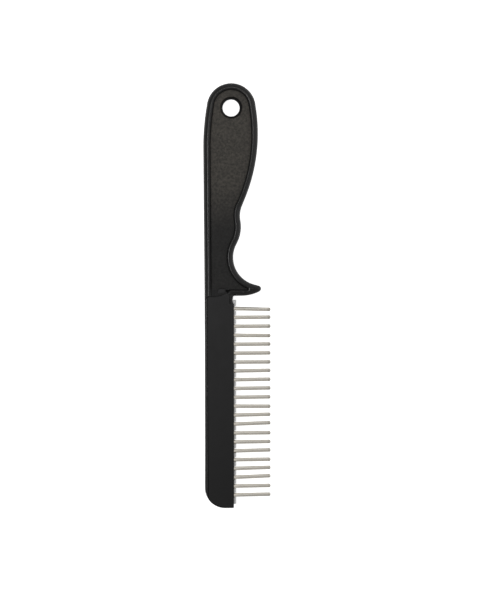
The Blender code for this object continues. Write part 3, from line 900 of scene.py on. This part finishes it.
RIM, WEB, COVER, CHANNEL, TOOTH = rim_material(), web_material(), cover_material(), channel_material(), tooth_material()
body.data.materials.clear()
for mat in (RIM, WEB):
    body.data.materials.append(mat)
centres = np.array([tuple(f.center) for f in body.data.polygons]) / MM
ups = np.array([f.normal.z for f in body.data.polygons])
flat = centres[:, :2] + np.array([U_MID, V_MID])
is_web = np.zeros(len(flat), bool)
for side in (1, -1):
    near = (signed(flat, FOOT[side][0]) < 0) & (ups * side > 0.3) & (flat[:, 1] > 3.3)
    off = np.abs((centres[:, 2] if side > 0 else THICK - centres[:, 2]) - (THICK - RECESS)) < 0.35
    is_web |= near & off
is_web |= (pad_distance(flat) < -0.05) & (ups > 0.3)
body.data.polygons.foreach_set("material_index", is_web.astype(int))
cover.data.materials.append(COVER)
channel.data.materials.append(CHANNEL)
for tooth in teeth:
    tooth.data.materials.append(TOOTH)

# ================================================================ what rides on what
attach(body, "comb_body")
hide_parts("handle_body")
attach(cover, "comb_body")
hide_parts("blade_cover")
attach(channel, "comb_body")
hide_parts("tooth_channel")
for i, tooth in enumerate(teeth):
    name = f"tooth_{i + 1:02d}"
    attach(tooth, name)
    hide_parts(name)


# ================================================================ floor, lights, camera
def build_floor():
    bm = bmesh.new()
    rings = []
    for r in (0.0, 0.15, 0.4, 1.0, 3.0, 8.0):
        if r == 0:
            rings.append([bm.verts.new((0, 0, -0.0002))])
        else:
            rings.append([bm.verts.new((r * math.cos(a), r * math.sin(a), -0.0002)) for a in np.arange(48) * (2 * math.pi / 48)])
    for k in range(48):
        bm.faces.new((rings[0][0], rings[1][k], rings[1][(k + 1) % 48]))
    for a, b in zip(rings[1:], rings[2:]):
        skin(bm, a, b)
    floor = from_bmesh("floor", bm)
    for poly in floor.data.polygons:
        if poly.normal.z < 0:
            floor.data.flip_normals()
            break
    mat = bpy.data.materials.new("floor_white")
    mat.use_nodes = True
    shader = mat.node_tree.nodes["Principled BSDF"]
    shader.inputs["Base Color"].default_value = (0.82, 0.82, 0.82, 1)
    shader.inputs["Roughness"].default_value = 0.9
    shader.inputs["Specular IOR Level"].default_value = 0.1
    shader.inputs["Emission Color"].default_value = (1, 1, 1, 1)
    shader.inputs["Emission Strength"].default_value = FLOOR_GLOW
    floor.data.materials.append(mat)
    floor.visible_glossy = False
    return floor


FLOOR_GLOW = 0.88
build_floor()


def area_light(name, at, towards, size, power, colour=(1, 1, 1), size_y=None):
    light = bpy.data.lights.new(name, "AREA")
    light.energy, light.color, light.size = power, colour, size
    if size_y:
        light.shape, light.size_y = "RECTANGLE", size_y
    obj = new_object(name, light)
    obj.location = at
    obj.rotation_euler = (Vector(towards) - Vector(at)).to_track_quat("-Z", "Y").to_euler()
    obj.visible_camera = False
    return obj


def spot_light(name, at, towards, degrees, power, colour=(1, 1, 1), radius=0.03):
    light = bpy.data.lights.new(name, "SPOT")
    light.energy, light.color, light.shadow_soft_size = power, colour, radius
    light.spot_size, light.spot_blend = math.radians(degrees), 0.75
    obj = new_object(name, light)
    obj.location = at
    obj.rotation_euler = (Vector(towards) - Vector(at)).to_track_quat("-Z", "Y").to_euler()
    obj.visible_camera = False
    return obj


area_light("key_strip", (-0.22, 0.02, 0.50), (0, 0.02, 0.0), 0.20, 0.84, size_y=0.07)
area_light("key_right", (0.50, 0.10, 0.30), (0, 0.0, 0.0), 0.40, 0.15, size_y=0.25)
spot_light("top_pool", (0.02, 0.16, 0.42), (0.0, 0.112, 0.0), 22, 1.0, (1.0, 0.97, 0.90), 0.07)


class Sky:
    """Surroundings: plain white to the camera; to the comb a grey room, lighter overhead and to the right."""

    def __init__(self):
        world = bpy.data.worlds.new("studio")
        bpy.context.scene.world = world
        world.use_nodes = True
        self.tree = world.node_tree
        self.tree.nodes.clear()
        coord = self.tree.nodes.new("ShaderNodeTexCoord")
        split = self.tree.nodes.new("ShaderNodeSeparateXYZ")
        self.tree.links.new(coord.outputs["Generated"], split.inputs[0])
        x, y, z = split.outputs
        along = self.range(y, -1, 1, *SKY_ALONG, smooth=False)
        rim = self.math("ADD", self.range(x, -1, 1, *SKY_ACROSS, smooth=False), along)
        left, right = self.range(x, -1, -0.2, TABLE[0], 0), self.range(x, 0.2, 1, 0, TABLE[2])
        table = self.math("ADD", self.math("ADD", left, right), self.math("ADD", along, TABLE[1]))
        strength = self.blend(self.range(z, -0.3, 0.02, 0, 1), table, rim)
        top = self.tree.nodes.new("ShaderNodeValue")
        top.outputs[0].default_value = SKY_TOP
        strength = self.blend(self.range(z, 0.92, 0.99, 0, 1), strength, top.outputs[0])
        grey, white = self.tree.nodes.new("ShaderNodeBackground"), self.tree.nodes.new("ShaderNodeBackground")
        self.tree.links.new(strength, grey.inputs["Strength"])
        path, mix = self.tree.nodes.new("ShaderNodeLightPath"), self.tree.nodes.new("ShaderNodeMixShader")
        out = self.tree.nodes.new("ShaderNodeOutputWorld")
        self.tree.links.new(path.outputs["Is Camera Ray"], mix.inputs[0])
        self.tree.links.new(grey.outputs[0], mix.inputs[1])
        self.tree.links.new(white.outputs[0], mix.inputs[2])
        self.tree.links.new(mix.outputs[0], out.inputs[0])

    def math(self, op, a, b):
        node = self.tree.nodes.new("ShaderNodeMath")
        node.operation = op
        for socket, value in zip(node.inputs, (a, b)):
            if isinstance(value, bpy.types.NodeSocket):
                self.tree.links.new(value, socket)
            else:
                socket.default_value = value
        return node.outputs[0]

    def range(self, value, low, high, start, end, smooth=True):
        node = self.tree.nodes.new("ShaderNodeMapRange")
        node.interpolation_type = "SMOOTHSTEP" if smooth else "LINEAR"
        for key, v in (("From Min", low), ("From Max", high), ("To Min", start), ("To Max", end)):
            node.inputs[key].default_value = v
        self.tree.links.new(value, node.inputs["Value"])
        return node.outputs["Result"]

    def blend(self, share, a, b):
        node = self.tree.nodes.new("ShaderNodeMix")
        for socket, value in zip(node.inputs[:1] + node.inputs[2:4], (share, a, b)):
            self.tree.links.new(value, socket)
        return node.outputs[0]


SKY_ACROSS, SKY_ALONG, TABLE, SKY_TOP = (0.42, 0.86), (-0.25, 0.06), (0.50, 0.58, 0.35), 0.245
Sky()

# The picture is 480 x 600 and shows 0.5075 mm a pixel at the front face; the comb leans by a third of a degree.
PIXEL = 0.5075
CAMERA_HEIGHT = 1.5
SPAN = 600 * PIXEL * MM
camera = bpy.data.cameras.new("camera")
camera.sensor_width = 36.0
camera.lens = 36.0 * (CAMERA_HEIGHT - THICK * MM) / SPAN
camera.clip_start, camera.clip_end = 0.05, 30
cam = new_object("camera", camera)
LEAN = 0.00578
AIM = (18.25, -2.12)
cam.location = place(*AIM, CAMERA_HEIGHT / MM)
cam.rotation_euler = (0, 0, -math.atan(LEAN))
bpy.context.scene.camera = cam
bpy.context.scene.view_settings.view_transform = "Standard"

bpy.context.view_layer.update()
